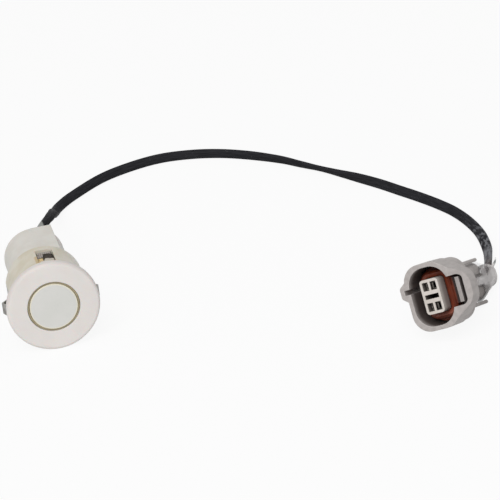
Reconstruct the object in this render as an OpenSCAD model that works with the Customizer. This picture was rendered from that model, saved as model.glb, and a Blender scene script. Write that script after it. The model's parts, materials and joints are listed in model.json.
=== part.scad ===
// Parking sensor with a short flat cable and a sealed two-way plug.
// The sensor's axis is Y and its face looks along -Y. The origin is on that axis, at the back of the flange.
// Sizes are in millimetres.

/* [Bezel] */
// Outer diameter of the flange that covers the hole in the panel
flange_d = 26; // [24.5:0.5:30]
// Thickness of the flange
flange_t = 2; // [1.8:0.1:3]
// Rounding of the flange's front edge
flange_edge_r = 0.9; // [0.4:0.1:0.9]
// Outer diameter of the barrel that goes through the panel
barrel_d = 21.8; // [21:0.1:23]
// Length of the barrel behind the flange
barrel_len = 16; // [15:0.5:19]
// Wall of the barrel
barrel_wall = 1.3; // [1.1:0.1:1.5]
// Width of the snap windows at the top and bottom of the barrel
window_w = 4.8; // [3.5:0.1:6]
// Length of the snap windows
window_len = 8; // [6.5:0.5:8.5]
// Distance from the flange to the snap windows
window_from = 5.5; // [4.5:0.5:6]
// Sideways shift of the snap windows towards the squared corner
window_x = 0.8; // [0:0.1:1.2]

/* [Spring clips] */
// Thickness of the spring steel
clip_t = 0.4; // [0.3:0.05:0.5]
// Width of the spring steel
clip_w = 3.2; // [2.6:0.1:4.5]
// Distance from the axis to the crest of a clip
clip_reach = 13.6; // [12.8:0.1:15]
// Distance from the flange to the crest of a clip
clip_crest = 3.6; // [3:0.1:4.5]
// Depth of the flat on the barrel that a clip lies in
clip_seat = 0.6; // [0.4:0.1:0.7]

/* [Transducer] */
// Diameter of the transducer's face
cup_d = 13.3; // [12.5:0.1:14]
// Depth of the transducer cup
cup_depth = 8; // [7:0.5:9]
// Wall of the transducer cup
cup_wall = 1.1; // [0.8:0.1:1.5]
// Thickness of the cup's vibrating face
face_t = 0.8; // [0.5:0.1:1.2]
// How far the face lies behind the front of the flange
face_recess = 0.1; // [0:0.05:0.3]
// Width of the gap round the face, filled by the rubber ring
face_gap = 0.7; // [0.5:0.05:1]
// How far the rubber ring lies behind the front of the flange
ring_recess = 0.4; // [0.3:0.1:1]
// Length of the rubber ring behind the flange's wall
ring_len = 7; // [5:0.5:7.5]
// Diameter of the piezo disc
piezo_d = 6.8; // [5:0.1:7.5]
// Thickness of the piezo disc
piezo_t = 0.5; // [0.3:0.1:0.8]
// Thickness of the damping pad
pad_t = 2.6; // [1.5:0.1:3]
// Diameter of the lead wires
lead_d = 0.6; // [0.4:0.1:0.8]

/* [Housing] */
// Diameter of the rear housing
housing_d = 17.4; // [17:0.1:18]
// Distance from the flange to the end of the rear housing
housing_end = 36; // [34:0.5:42]
// Wall of the rear housing
housing_wall = 1.3; // [1:0.1:1.5]
// Rounding of the housing's rear edge
housing_edge_r = 0.4; // [0.3:0.1:1]
// Sideways reach of the squared corner that the cable leaves from
corner_reach = 6; // [5.6:0.1:6.4]
// Height of the snap teeth above the collar
tooth_h = 0.5; // [0.4:0.1:1]
// Distance from the flange to the terminal board
board_from = 20; // [18:0.5:22]
// Thickness of the terminal board
board_t = 1; // [0.8:0.1:1.6]
// Width of the ledge that the terminal board sits on
board_ledge = 0.8; // [0.5:0.1:1]

/* [Cable] */
// Width of the flat cable
cable_w = 3.1; // [2.6:0.1:3.3]
// Thickness of the flat cable
cable_t = 1.9; // [1.5:0.1:2.1]
// Diameter of the insulated cores
core_d = 1; // [0.8:0.05:1.1]
// Spacing of the two cores in the cable
core_gap = 1.45; // [1.3:0.05:1.6]
// Wall of rubber round the cable at the end of the grommet
grommet_wall = 0.2; // [0.15:0.05:0.3]
// Length of one step of the grommet
grommet_step = 1; // [0.8:0.05:1.3]

/* [Plug] */
// Width of the plug's mouth
mouth_w = 11.6; // [11.4:0.1:12.4]
// Height of the plug's mouth
mouth_h = 16; // [15:0.1:18]
// Corner radius of the plug's mouth
mouth_r = 5; // [3:0.1:6]
// Wall of the plug's shroud
shroud_wall = 1.15; // [0.9:0.05:1.5]
// Depth of the plug's mouth
mouth_depth = 9; // [8.5:0.5:10]
// Thickness of the wall behind the mouth
web_t = 2.5; // [2:0.1:3]
// Length of the narrower body behind the shroud
rear_len = 2.5; // [2:0.5:4]
// Width of the tower that holds the terminals
tower_w = 5.4; // [5:0.1:5.8]
// Height of the tower that holds the terminals
tower_h = 9.4; // [9.2:0.1:10.5]
// Corner radius of that tower
tower_r = 0.9; // [0.5:0.1:1.2]
// How far the tower's end lies behind the rim of the mouth
tower_recess = 0.4; // [0:0.1:1]
// Length of the retainer on the end of the tower
retainer_len = 4; // [3:0.5:4.5]
// Spacing of the two terminals
pin_pitch = 5.6; // [5.2:0.1:5.8]
// Width of the latch pocket
pocket_w = 3.2; // [3:0.1:3.6]
// Height of the latch pocket
pocket_h = 8.4; // [7:0.1:8.8]
// Corner radius of the latch pocket
pocket_r = 1.4; // [0.8:0.1:1.8]
// Width of the lock rib in the latch pocket
bar_w = 1.1; // [0.8:0.1:1.4]
// Height of the key slot's middle above the plug's axis
key_rise = 2.5; // [2:0.1:3.5]
// Height of the key slot
key_h = 1.35; // [1:0.05:1.8]
// Depth of the key slot into the side wall
key_deep = 1.6; // [1.4:0.1:2.2]
// Outer diameter of the two rear sockets
socket_d = 5; // [4.7:0.1:5.2]
// Length of the rear sockets behind the narrower body
socket_len = 14; // [12:0.5:15]
// Diameter of the bore for the wire seals
seal_bore_d = 3.6; // [3.2:0.1:3.8]
// Diameter of the guide pins at the back of the plug
guide_d = 1; // [0.8:0.1:1.4]
// Length of the guide pins behind the narrower body
guide_len = 14; // [11:0.5:15]
// Wall of the clear sleeve behind the sockets
sleeve_wall = 0.5; // [0.4:0.05:0.8]
// Length of the clear sleeve between the sockets and the end of the cable
sleeve_taper = 8.5; // [5:0.5:9]

/* [Hidden] */

$fn = 96;
// Clearance between pieces that are pushed into each other
fit = 0.05;
// Overlap that keeps cuts clear of coincident faces
over = 1;
// Smallest step, for sides that would otherwise only touch
hair = 0.005;

// Radii and stations along the sensor's axis
flange_r = flange_d / 2;
barrel_r = barrel_d / 2;
bore_r = barrel_r - barrel_wall;
face_r = cup_d / 2;
ring_r = face_r + face_gap;
cup_bore_r = face_r - cup_wall;
front_y = -flange_t;
cup_y = front_y + face_recess;
piezo_y = cup_y + face_t;
pad_y = piezo_y + piezo_t;
sealant_y = pad_y + pad_t;
cup_end = cup_y + cup_depth;
sealant_inset = 0.3;
housing_r = housing_d / 2;
collar_r = bore_r - fit;
cavity_r = housing_r - housing_wall;
board_y = board_from + board_t;
floor_z = -flange_r;

// Snap teeth stand at the rear end of the windows, on the housing's collar
window_end = window_from + window_len;
tooth_len = 0.9;
tooth_side_gap = 0.4;
tooth_root = 0.6;
collar_lap = 2;
collar_from = window_end - collar_lap;
corner_gap = 0.3;
foam_r = 7.2;

// Spring clips: the strip hooks over the rim, follows the flat, flares out and turns in again
clip_side_gap = 0.2;
clip_hook = 0.5;
clip_bend_from = 6.8;
clip_seat_from = 5;
clip_tip_y = 1.2;
clip_tip_x = 12.4;
clip_seat_x = barrel_r - clip_seat;
clip_leg_x = clip_seat_x + clip_t / 2;
clip_path = [
    [clip_seat_x - clip_hook, barrel_len + clip_t / 2],
    [clip_leg_x, barrel_len + clip_t / 2],
    [clip_leg_x, clip_bend_from],
    [clip_reach - clip_t / 2, clip_crest],
    [clip_tip_x, clip_tip_y]
];

// Lead wires and the parts on the board
lead_reach = 0.6;
signal_x = 1.6;
ground_x = -4.6;
capacitor = [2, 0.9, 1.2];
capacitor_z = -3.5;

// Where the cable leaves the housing, and the grommet round it
grommet_in = 3;
grommet_steps = 2;
grommet_growth = 0.22;
grommet_end = housing_end + grommet_steps * grommet_step;
channel_from = board_y + 2;
channel_w = cable_w + 4 * grommet_wall;
channel_t = cable_t + 4 * grommet_wall;
corner_side_wall = 0.45;
corner_top_wall = 1.15;
exit_x = corner_reach - corner_side_wall - channel_w / 2;
exit_z = housing_r - corner_top_wall - channel_t / 2;
tail_z = 3.4;
tail_in = 1;

// The two cores run from the board to the end of the grommet
function tail_path(x) = [
    [x - tail_in, board_y, tail_z],
    [x - tail_in, board_y + 2, tail_z],
    [x - tail_in, board_y + 5, tail_z + 0.9],
    [x - tail_in / 2, board_y + 8, exit_z - 0.6],
    [x, board_y + 11.5, exit_z],
    [x, grommet_end, exit_z]
];

// The plug lies on its side with its mouth raised a little. Its own axes are X across the mouth,
// Y back from the mouth and Z up the mouth.
plug_at = [96.05, -43.3, floor_z + 13.19];
plug_yaw = -41;
plug_pitch = -16;
plug_roll = -19;
shroud_w = mouth_w + 2 * shroud_wall;
shroud_h = mouth_h + 2 * shroud_wall;
shroud_r = 5;
pocket_end = mouth_w / 2 + pocket_w;
pocket_wall = 1.5;
pocket_back = 1.2;
bulge_x = pocket_end + pocket_wall;
bulge_z = 1.2;
shoulder_in = 0.7;
back_step = 0.4;
bulge_len = 7.5;
pocket_depth = bulge_len - pocket_back;
slope_from = mouth_w / 2 + 0.55;
slope_back = 3.5;
bar_gap = 0.9;
bar_x = pocket_end - bar_gap - bar_w;
bar_y = 2;
bar_h = 6.8;
key_wall = 1.2;
key_r = 0.9;
key_flare = 1.4;
web_end = mouth_depth + web_t;
rear_w = 10.5;
rear_h = 13;
rear_r = 4;
rear_end = web_end + rear_len;
tower_y = tower_recess + retainer_len;
socket_end = rear_end + socket_len;
pin_z = pin_pitch / 2;
terminal_w = 3.2;
terminal_h = 2.1;
terminal_wall = 0.3;
terminal_gap = 0.1;
terminal_end = mouth_depth + 1;
tongue_t = 0.45;
window_bar = 0.6;
window_bar_t = 1;
terminal_back = 0.5;
terminal_from = tower_recess + window_bar_t + terminal_back;
tongue_from = terminal_from + 0.8;
crimp_d = 1.7;
crimp_end = terminal_end + 4.5;
window_side = 0.65;
slot_h = 1.2;
slot_in = 3;
seal_collar = 1.5;
seal_base_t = 1.6;
seal_inset = 0.4;
seal_lip = 0.35;
seal_lip_len = 0.9;
seal_lip_step = 1.5;
seal_ear_t = 1.2;
ear_end = bar_x - seal_inset;
wire_d = 1.2;
wire_seal_len = 5;
wire_seal_rib = 1;
wire_seal_groove = 0.25;
guide_places = [[2, 5.8], [2, -6.1]];
sleeve_grip = 4;
sleeve_w = socket_d + 2 * fit;
sleeve_h = pin_pitch + sleeve_w;
sleeve_cap = 1;
sleeve_rim = 1;
sleeve_slack = 1.4;
sleeve_slack_h = 1.2;
sleeve_lift = 0.4;
sleeve_from = socket_end - sleeve_grip;
cable_start_y = socket_end + sleeve_taper;
sleeve_end = cable_start_y + sleeve_rim;

// A point of the plug's own frame, in the sensor's frame
function turn_z(p, a) = [p.x * cos(a) - p.y * sin(a), p.x * sin(a) + p.y * cos(a), p.z];
function turn_x(p, a) = [p.x, p.y * cos(a) - p.z * sin(a), p.y * sin(a) + p.z * cos(a)];
function plug_point(y) = plug_at + turn_z(turn_x([0, y, 0], plug_pitch), plug_yaw);

// Route of the cable: place, and the turn of its wide side from level (0) to upright (90).
// It leaves the grommet and comes down behind the housing. Each point there has its share of that drop.
// Then it lies on edge in a wide arc, turns over once and comes up to the plug.
// Each point there has its height above the floor.
edge_z = 1.6;
flat_z = 1.1;
cable_lead = 1.8;
cable_drop = [
    [4.5, 42.5, 0.005, 5], [5.8, 46, 0.025, 12], [7.2, 50, 0.065, 22], [8.4, 55, 0.13, 34],
    [9.4, 60, 0.22, 46], [10.1, 66, 0.35, 58], [10.7, 72, 0.49, 68], [11.3, 78, 0.64, 77],
    [12, 84, 0.77, 84], [13.1, 90, 0.885, 90], [15.2, 97, 0.97, 90], [20.5, 105, 1, 90]
];
cable_arc = [
    [31.5, 115.5, edge_z, 90], [42, 121, edge_z, 90], [52.5, 123.5, edge_z, 90], [62.5, 122, edge_z, 90],
    [71.5, 118, edge_z, 90], [80, 111.5, edge_z, 95], [88, 103.5, 1.5, 110], [93, 97, 1.3, 135],
    [98, 90.5, flat_z, 170], [102.5, 83, 1.3, 220], [107, 75.5, 1.5, 255], [111.5, 67.5, edge_z, 270],
    [115.5, 59.5, edge_z, 270], [119.5, 51.5, edge_z, 270], [123, 43.5, edge_z, 270],
    [125.7, 35.5, edge_z, 270], [127.3, 26, edge_z, 264], [127.6, 16, edge_z, 250], [126.2, 5.5, 1.7, 237],
    [124.2, -2, 2, 234], [121.9, -9, 2.45, 238], [120.7, -12.6, 2.65, 245]
];
cable_route = concat(
    [[[exit_x, grommet_end, exit_z], 0], [[exit_x, grommet_end + cable_lead, exit_z], 0]],
    [for (p = cable_drop) [[p[0], p[1], exit_z + p[2] * (floor_z + edge_z - exit_z)], p[3]]],
    [for (p = cable_arc) [[p[0], p[1], floor_z + p[2]], p[3]]],
    [for (y = [cable_lead, 0]) [plug_point(cable_start_y + y), 270 + plug_roll]]
);

// The two wires between the plug's terminals and the end of the cable. Behind the sockets they close up in a soft S.
wire_lead = 0.4;
function wire_path(side) =
    let (from = socket_end + wire_lead, to = cable_start_y - sleeve_cap - wire_lead)
    concat(
        [[0, crimp_end, side * pin_z]],
        [for (t = [0 : 0.25 : 1])
            [0, from + t * (to - from), side * (pin_z + (core_gap / 2 - pin_z) * t * t * (3 - 2 * t))]],
        [[0, cable_start_y, side * core_gap / 2]]
    );

// A solid turned round the sensor's axis. The outline gives the radius and the station along Y.
module turned() {
    rotate([-90, 0, 0]) rotate_extrude() children();
}

// An outline in X and Z, carried along Y from one station to another
module along_y(from, to) {
    translate([0, to, 0]) rotate([90, 0, 0]) linear_extrude(to - from) children();
}

// A round rod along Y
module rod(d, from, to) {
    translate([0, from, 0]) rotate([-90, 0, 0]) cylinder(d = d, h = to - from);
}

// A convex outline whose corners are discs of one radius round the given points.
// A sloping side lies a hair inside its discs, so that it crosses them instead of just touching.
module rounded(points, r) {
    polygon(points);
    for (i = [0 : len(points) - 1]) {
        run = points[(i + 1) % len(points)] - points[i];
        side = run.x == 0 || run.y == 0 ? r : r - hair;
        translate(points[i]) {
            circle(r);
            rotate(atan2(run.y, run.x)) translate([0, -side]) square([norm(run), 2 * side]);
        }
    }
}

// A rectangle with round corners
module round_rect(w, h, r) {
    x = w / 2 - r;
    z = h / 2 - r;
    rounded([[-x, -z], [x, -z], [x, z], [-x, z]], r);
}

// A flat oval with its long side level
module oval(w, t) {
    square([w - t, t], center = true);
    for (s = [-1, 1]) translate([s * (w - t) / 2, 0]) circle(d = t);
}

// A bent strip of one thickness along a list of points, with round bends
module strip(points, t) {
    for (i = [0 : len(points) - 2]) {
        run = points[i + 1] - points[i];
        translate(points[i]) rotate(atan2(run.y, run.x)) translate([0, -t / 2]) square([norm(run), t]);
    }
    for (i = [1 : len(points) - 2]) translate(points[i]) circle(d = t);
}

// A flat tube carried along a route of places and turns
function unit(v) = v / norm(v);
function heading(route, i) =
    unit(route[min(i + 1, len(route) - 1)][0] - route[max(i - 1, 0)][0]);
function ring(route, i, w, t, sides) =
    let (
        ahead = heading(route, i),
        level = unit(cross(ahead, [0, 0, 1])),
        rise = cross(level, ahead),
        roll = route[i][1],
        wide = level * cos(roll) + rise * sin(roll),
        thin = rise * cos(roll) - level * sin(roll)
    )
    [for (k = [0 : sides - 1])
        route[i][0] + wide * (w / 2 * cos(360 * k / sides)) + thin * (t / 2 * sin(360 * k / sides))];
module tube(route, w, t, sides = 8) {
    last = len(route) - 1;
    polyhedron(
        points = [for (i = [0 : last]) each ring(route, i, w, t, sides)],
        faces = concat(
            [[for (k = [0 : sides - 1]) k]],
            [for (i = [0 : last - 1], k = [0 : sides - 1])
                [i * sides + k, (i + 1) * sides + k, (i + 1) * sides + (k + 1) % sides]],
            [for (i = [0 : last - 1], k = [0 : sides - 1])
                [i * sides + k, (i + 1) * sides + (k + 1) % sides, i * sides + (k + 1) % sides]],
            [[for (k = [sides - 1 : -1 : 0]) last * sides + k]]
        )
    );
}
module wire(points, d) {
    tube([for (p = points) [p, 0]], d, d);
}

module on_plug() {
    translate(plug_at) rotate([0, 0, plug_yaw]) rotate([plug_pitch, 0, 0]) rotate([0, plug_roll, 0]) children();
}

// Flange and barrel, moulded in one piece
module bezel() {
    color("#dedad6") difference() {
        turned() {
            translate([ring_r, front_y]) square([flange_r - flange_edge_r - ring_r, flange_t]);
            translate([ring_r, front_y + flange_edge_r]) square([flange_r - ring_r, flange_t - flange_edge_r]);
            translate([flange_r - flange_edge_r, front_y + flange_edge_r]) circle(flange_edge_r);
            translate([bore_r, front_y / 2]) square([barrel_wall, barrel_len - front_y / 2]);
        }
        for (side = [-1, 1]) {
            translate([window_x, window_from + window_len / 2, side * barrel_r])
                cube([window_w, window_len, 2 * barrel_wall + over], center = true);
            translate([side * (clip_seat_x + over), (clip_seat_from + barrel_len + over) / 2, 0])
                cube([2 * over, barrel_len + over - clip_seat_from, clip_w + 2 * clip_side_gap], center = true);
        }
    }
}

// Bent spring-steel clip on one side of the barrel
module spring_clip(side) {
    color("#8a8780") mirror([side < 0 ? 1 : 0, 0, 0])
        translate([0, 0, -clip_w / 2]) linear_extrude(clip_w) strip(clip_path, clip_t);
}
module left_spring_clip() { spring_clip(-1); }
module right_spring_clip() { spring_clip(1); }

// Drawn cup whose face sends and receives the sound
module transducer_cup() {
    color("#d6d6d2") turned() {
        translate([0, cup_y]) square([face_r, face_t]);
        translate([cup_bore_r, cup_y]) square([cup_wall, cup_depth]);
    }
}

// Rubber ring that keeps the cup from touching the bezel
module isolation_ring() {
    color("#968c73") turned() {
        translate([face_r + fit, front_y + ring_recess])
            square([face_gap - 2 * fit, flange_t - ring_recess + ring_len / 2]);
        translate([face_r + fit, 0]) square([bore_r - face_r - 2 * fit, ring_len]);
    }
}

module piezo_disc() {
    color("#b9a46c") rod(piezo_d, piezo_y, pad_y);
}

// Passages for the two lead wires
module lead_passages() {
    for (x = [signal_x, ground_x])
        translate([x, 0, 0]) rod(lead_d + 2 * fit, front_y, board_y + over);
}

module damping_pad() {
    color("#5c5148") difference() {
        rod(2 * (cup_bore_r - fit), pad_y, sealant_y);
        lead_passages();
    }
}

module cup_sealant() {
    color("#c9c3b4") difference() {
        rod(2 * (cup_bore_r - fit), sealant_y, cup_end - sealant_inset);
        lead_passages();
    }
}

module signal_lead() {
    color("#b5482f") translate([signal_x, 0, 0]) rod(lead_d, pad_y, board_y + lead_reach);
}

module ground_lead() {
    color("#3a3a3c") translate([ground_x, 0, 0]) rod(lead_d, piezo_y, board_y + lead_reach);
}

// Small board where the lead wires meet the cores of the cable
module terminal_board() {
    color("#3f6b46") difference() {
        rod(2 * (cavity_r - fit), board_from, board_y);
        lead_passages();
    }
}

module tuning_capacitor() {
    color("#a58a63") translate([-capacitor.x / 2, board_from - capacitor.y, capacitor_z - capacitor.z / 2])
        cube(capacitor);
}

// Foam ring between the rubber ring and the housing's collar
module foam_ring() {
    color("#1c1c1d") turned() translate([foam_r, ring_len + fit])
        square([bore_r - fit - foam_r, collar_from - ring_len - 2 * fit]);
}

// Rear housing: collar and snap teeth inside the barrel, round body, squared corner for the cable
module sensor_housing() {
    color("#d0cdc6") difference() {
        union() {
            turned() {
                translate([0, collar_from]) square([collar_r, barrel_len - collar_from]);
                translate([0, barrel_len - over]) square([housing_r - housing_edge_r, housing_end - barrel_len + over]);
                translate([0, barrel_len - over]) square([housing_r, housing_end - barrel_len + over - housing_edge_r]);
                translate([housing_r - housing_edge_r, housing_end - housing_edge_r]) circle(housing_edge_r);
            }
            translate([0, barrel_len + corner_gap, 0])
                cube([corner_reach, housing_end - barrel_len - corner_gap, housing_r]);
            for (side = [0, 1]) mirror([0, 0, side])
                translate([window_x - window_w / 2 + tooth_side_gap, window_end - tooth_len - fit, collar_r - tooth_root])
                    cube([window_w - 2 * tooth_side_gap, tooth_len, tooth_root + tooth_h]);
        }
        turned() {
            translate([0, collar_from - over]) square([cavity_r, board_y - collar_from + over]);
            translate([0, board_y - over])
                square([cavity_r - board_ledge, housing_end - housing_wall - board_y + over]);
        }
        translate([exit_x, 0, exit_z]) along_y(channel_from, housing_end + over) oval(channel_w, channel_t);
    }
}

module signal_tail() {
    color("#e4e2dc") wire(tail_path(exit_x - core_gap / 2), core_d);
}

module ground_tail() {
    color("#2c2c2e") wire(tail_path(exit_x + core_gap / 2), core_d);
}

// Rubber grommet: a plug in the housing's wall and steps that narrow down to the cable
module cable_grommet() {
    color("#4a4a4c") translate([exit_x, 0, exit_z]) difference() {
        union() {
            along_y(housing_end - grommet_in, housing_end + fit) oval(channel_w - 2 * fit, channel_t - 2 * fit);
            for (i = [0 : grommet_steps - 1])
                along_y(housing_end + i * grommet_step, grommet_end) {
                    size = 2 * grommet_wall + 2 * grommet_growth * (grommet_steps - 1 - i);
                    oval(cable_w + size, cable_t + size);
                }
        }
        for (side = [-1, 1]) translate([side * core_gap / 2, 0, 0])
            rod(core_d + 2 * fit, housing_end - grommet_in - over, grommet_end + over);
    }
}

module cable() {
    color("#2b2b2d") tube(cable_route, cable_w, cable_t);
}

// Outlines across the plug
module mouth_outline(inset = 0) {
    round_rect(mouth_w - 2 * inset, mouth_h - 2 * inset, mouth_r - inset);
}
module pocket_outline() {
    translate([pocket_end / 2, 0]) round_rect(pocket_end, pocket_h, pocket_r);
}
module ear_outline() {
    translate([ear_end / 2, 0]) round_rect(ear_end, pocket_h - 2 * seal_inset, pocket_r - seal_inset);
}
module tower_outline(grow = 0) {
    round_rect(tower_w + 2 * grow, tower_h + 2 * grow, tower_r + grow);
}
module slot_outline() {
    square([tower_w - 2 * window_side, slot_h], center = true);
}
module sleeve_outline(grow = 0) {
    rotate(90) oval(sleeve_h + 2 * grow, sleeve_w + 2 * grow);
}
module sleeve_end_outline(grow = 0) {
    translate([0, sleeve_lift])
        rotate(90) oval(cable_w + 2 * (sleeve_slack_h + grow), cable_t + 2 * (sleeve_slack + grow));
}
module bulge_outline() {
    x = shroud_w / 2 - shroud_r;
    z = shroud_h / 2 - shroud_r;
    rounded([
        [-x, -z], [x, -z], [bulge_x - shroud_r, -bulge_z], [bulge_x - shroud_r, bulge_z], [x - shoulder_in, z], [-x, z]
    ], shroud_r);
}
module key_outline() {
    x = -mouth_w / 2 - key_deep - key_wall + key_r;
    z = key_h / 2 + key_wall - key_r;
    translate([0, key_rise])
        rounded([[x, -z], [-mouth_w / 2, -z - key_flare], [-mouth_w / 2, z + key_flare], [x, z]], key_r);
}

// Moulded plug body: shroud with latch pocket and key slot, terminal tower, rear sockets and guide pins
module plug_housing() {
    color("#afa8a5") on_plug() difference() {
        union() {
            difference() {
                union() {
                    along_y(0, bulge_len) bulge_outline();
                    along_y(bulge_len, web_end)
                        round_rect(shroud_w - 2 * back_step, shroud_h - 2 * back_step, shroud_r - back_step);
                    along_y(0, web_end) key_outline();
                }
                along_y(-over, mouth_depth) {
                    mouth_outline();
                    translate([-mouth_w / 2 - key_deep, key_rise - key_h / 2]) square([mouth_w / 2, key_h]);
                }
                along_y(-over, pocket_depth) pocket_outline();
                translate([0, 0, -shroud_h]) linear_extrude(2 * shroud_h) polygon([
                    [slope_from, -over], [slope_from, 0], [bulge_x, slope_back],
                    [bulge_x + over, slope_back], [bulge_x + over, -over]
                ]);
            }
            along_y(tower_y, web_end) tower_outline();
            along_y(web_end - web_t / 2, rear_end) round_rect(rear_w, rear_h, rear_r);
            along_y(bar_y, bulge_len) translate([bar_x, -bar_h / 2]) square([bar_w, bar_h]);
            for (side = [-1, 1]) translate([0, 0, side * pin_z]) rod(socket_d, web_end, socket_end);
            for (p = guide_places) translate([p[0], 0, p[1]]) rod(guide_d, web_end, rear_end + guide_len);
        }
        along_y(tower_y - over, tower_y + slot_in) slot_outline();
        for (side = [-1, 1]) translate([0, 0, side * pin_z]) {
            along_y(tower_y - over, web_end)
                square([terminal_w + 2 * terminal_gap, terminal_h + 2 * terminal_gap], center = true);
            rod(seal_bore_d, web_end - over / 2, socket_end + over);
        }
    }
}

// Cap on the end of the tower, with a barred window for each terminal and a slot between them
module front_retainer() {
    color("#cdc6c0") on_plug() {
        difference() {
            along_y(tower_recess, tower_y) tower_outline();
            for (side = [-1, 1]) translate([0, 0, side * pin_z])
                along_y(tower_recess - over, tower_y + over)
                    square([tower_w - 2 * window_side, terminal_h + 2 * terminal_gap], center = true);
            along_y(tower_recess - over, tower_y + over) slot_outline();
        }
        for (side = [-1, 1]) translate([0, 0, side * pin_z])
            along_y(tower_recess, tower_recess + window_bar_t)
                square([window_bar, terminal_h + 2 * terminal_gap + window_side], center = true);
    }
}

// Silicone seal: a sheet on the floor of the mouth, a lipped collar round the tower and an ear in the pocket
module mouth_seal() {
    color("#7a3524") on_plug() difference() {
        union() {
            along_y(mouth_depth - seal_base_t, mouth_depth) mouth_outline(seal_inset);
            along_y(pocket_depth - seal_ear_t, pocket_depth) ear_outline();
            along_y(tower_y, mouth_depth - seal_base_t / 2) tower_outline(seal_collar);
            for (i = [0, 1]) {
                lip_y = tower_y + seal_lip_len / 2 + i * seal_lip_step;
                along_y(lip_y, lip_y + seal_lip_len) tower_outline(seal_collar + seal_lip);
            }
        }
        along_y(tower_y - over, mouth_depth + over) tower_outline(fit);
    }
}

// Receptacle terminal: box with a tongue in the middle, and a round crimp on the wire
module terminal(side) {
    color("#c8c6c0") on_plug() translate([0, 0, side * pin_z]) {
        difference() {
            along_y(terminal_from, terminal_end) square([terminal_w, terminal_h], center = true);
            along_y(terminal_from - over, terminal_end - terminal_wall)
                square([terminal_w - 2 * terminal_wall, terminal_h - 2 * terminal_wall], center = true);
        }
        along_y(tongue_from, terminal_end - terminal_wall / 2) square([tongue_t, terminal_h], center = true);
        rod(crimp_d, terminal_end - terminal_wall / 2, crimp_end);
    }
}
module upper_terminal() { terminal(1); }
module lower_terminal() { terminal(-1); }

// Ribbed rubber plug that seals one wire in its socket
module wire_seal(side) {
    color("#8a3a24") on_plug() translate([0, 0, side * pin_z]) difference() {
        union() {
            rod(seal_bore_d - 2 * fit - 2 * wire_seal_groove, socket_end - wire_seal_len, socket_end);
            for (i = [0 : 2]) translate([0, 2 * i * wire_seal_rib, 0])
                rod(seal_bore_d - 2 * fit, socket_end - wire_seal_len, socket_end - wire_seal_len + wire_seal_rib);
        }
        rod(wire_d + 2 * fit, socket_end - wire_seal_len - over, socket_end + over);
    }
}
module upper_wire_seal() { wire_seal(1); }
module lower_wire_seal() { wire_seal(-1); }

module upper_wire() { color("#d8d5cc") on_plug() wire(wire_path(1), wire_d); }
module lower_wire() { color("#2c2c2e") on_plug() wire(wire_path(-1), wire_d); }

// Clear sleeve: grips both sockets and tapers down to the end of the cable, which it takes in a short rim
module sleeve_form(grow, to) {
    hull() {
        along_y(sleeve_from, socket_end) sleeve_outline(grow);
        along_y(to - sleeve_rim, to) sleeve_end_outline(grow);
    }
}
module wire_sleeve() {
    color("#e6e4de", 0.6) on_plug() difference() {
        sleeve_form(sleeve_wall, sleeve_end, $fn = 32);
        sleeve_form(0, cable_start_y - sleeve_cap, $fn = 32);
        along_y(sleeve_from - over, socket_end) sleeve_outline();
        along_y(cable_start_y, sleeve_end + over) sleeve_end_outline();
        for (side = [-1, 1]) translate([0, 0, side * core_gap / 2])
            rod(wire_d + 2 * fit, cable_start_y - sleeve_cap - over, cable_start_y + over);
    }
}

bezel();
left_spring_clip();
right_spring_clip();
transducer_cup();
isolation_ring();
piezo_disc();
damping_pad();
cup_sealant();
signal_lead();
ground_lead();
terminal_board();
tuning_capacitor();
foam_ring();
sensor_housing();
signal_tail();
ground_tail();
cable_grommet();
cable();
plug_housing();
front_retainer();
mouth_seal();
upper_terminal();
lower_terminal();
upper_wire_seal();
lower_wire_seal();
upper_wire();
lower_wire();
wire_sleeve();
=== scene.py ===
"""Looks of a parking sensor with its flat cable and sealed two-way plug.

Lengths are written in millimetres, as in the part's source, and become metres when a mesh is made. Only
the floor and the lamp are written in metres.
The sensor's axis is Y and its face looks along -Y. The plug has axes of its own: X across its mouth,
Y back from its mouth and Z up its mouth.
"""
import json
import math

import bmesh
import bpy
import numpy as np
from mathutils import Matrix


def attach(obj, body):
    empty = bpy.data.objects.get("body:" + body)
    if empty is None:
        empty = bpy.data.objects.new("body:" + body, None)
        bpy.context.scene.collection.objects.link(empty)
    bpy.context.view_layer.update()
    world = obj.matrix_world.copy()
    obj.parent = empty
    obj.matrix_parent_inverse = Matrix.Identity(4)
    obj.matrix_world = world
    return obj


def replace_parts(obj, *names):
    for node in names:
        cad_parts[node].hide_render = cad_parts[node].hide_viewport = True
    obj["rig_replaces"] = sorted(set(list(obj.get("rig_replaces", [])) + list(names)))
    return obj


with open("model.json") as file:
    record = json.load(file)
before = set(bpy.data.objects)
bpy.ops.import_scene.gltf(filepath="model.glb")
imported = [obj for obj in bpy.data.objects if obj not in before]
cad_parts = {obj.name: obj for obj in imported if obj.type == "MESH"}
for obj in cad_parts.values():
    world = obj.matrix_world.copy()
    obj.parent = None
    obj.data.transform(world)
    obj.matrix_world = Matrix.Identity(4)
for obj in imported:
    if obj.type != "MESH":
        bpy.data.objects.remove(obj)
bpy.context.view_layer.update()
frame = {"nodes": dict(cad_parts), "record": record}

MM = 0.001
FLOOR_Z = -13.0

# The camera of the photograph: place, heading, lean and lens, for an image of 500 by 500.
CAMERA_AT = (-56.55, -641.54, 284.5)
CAMERA_AZIMUTH = -10.0
CAMERA_RISE = 23.25
CAMERA_LEAN = 7.0
CAMERA_LENS = 183.4
CAMERA_SENSOR = 36.0

# The plug's place and turns.
PLUG_AT = np.array([96.05, -43.3, 0.19])
PLUG_YAW, PLUG_PITCH, PLUG_ROLL = -41.0, -16.0, -19.0

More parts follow.
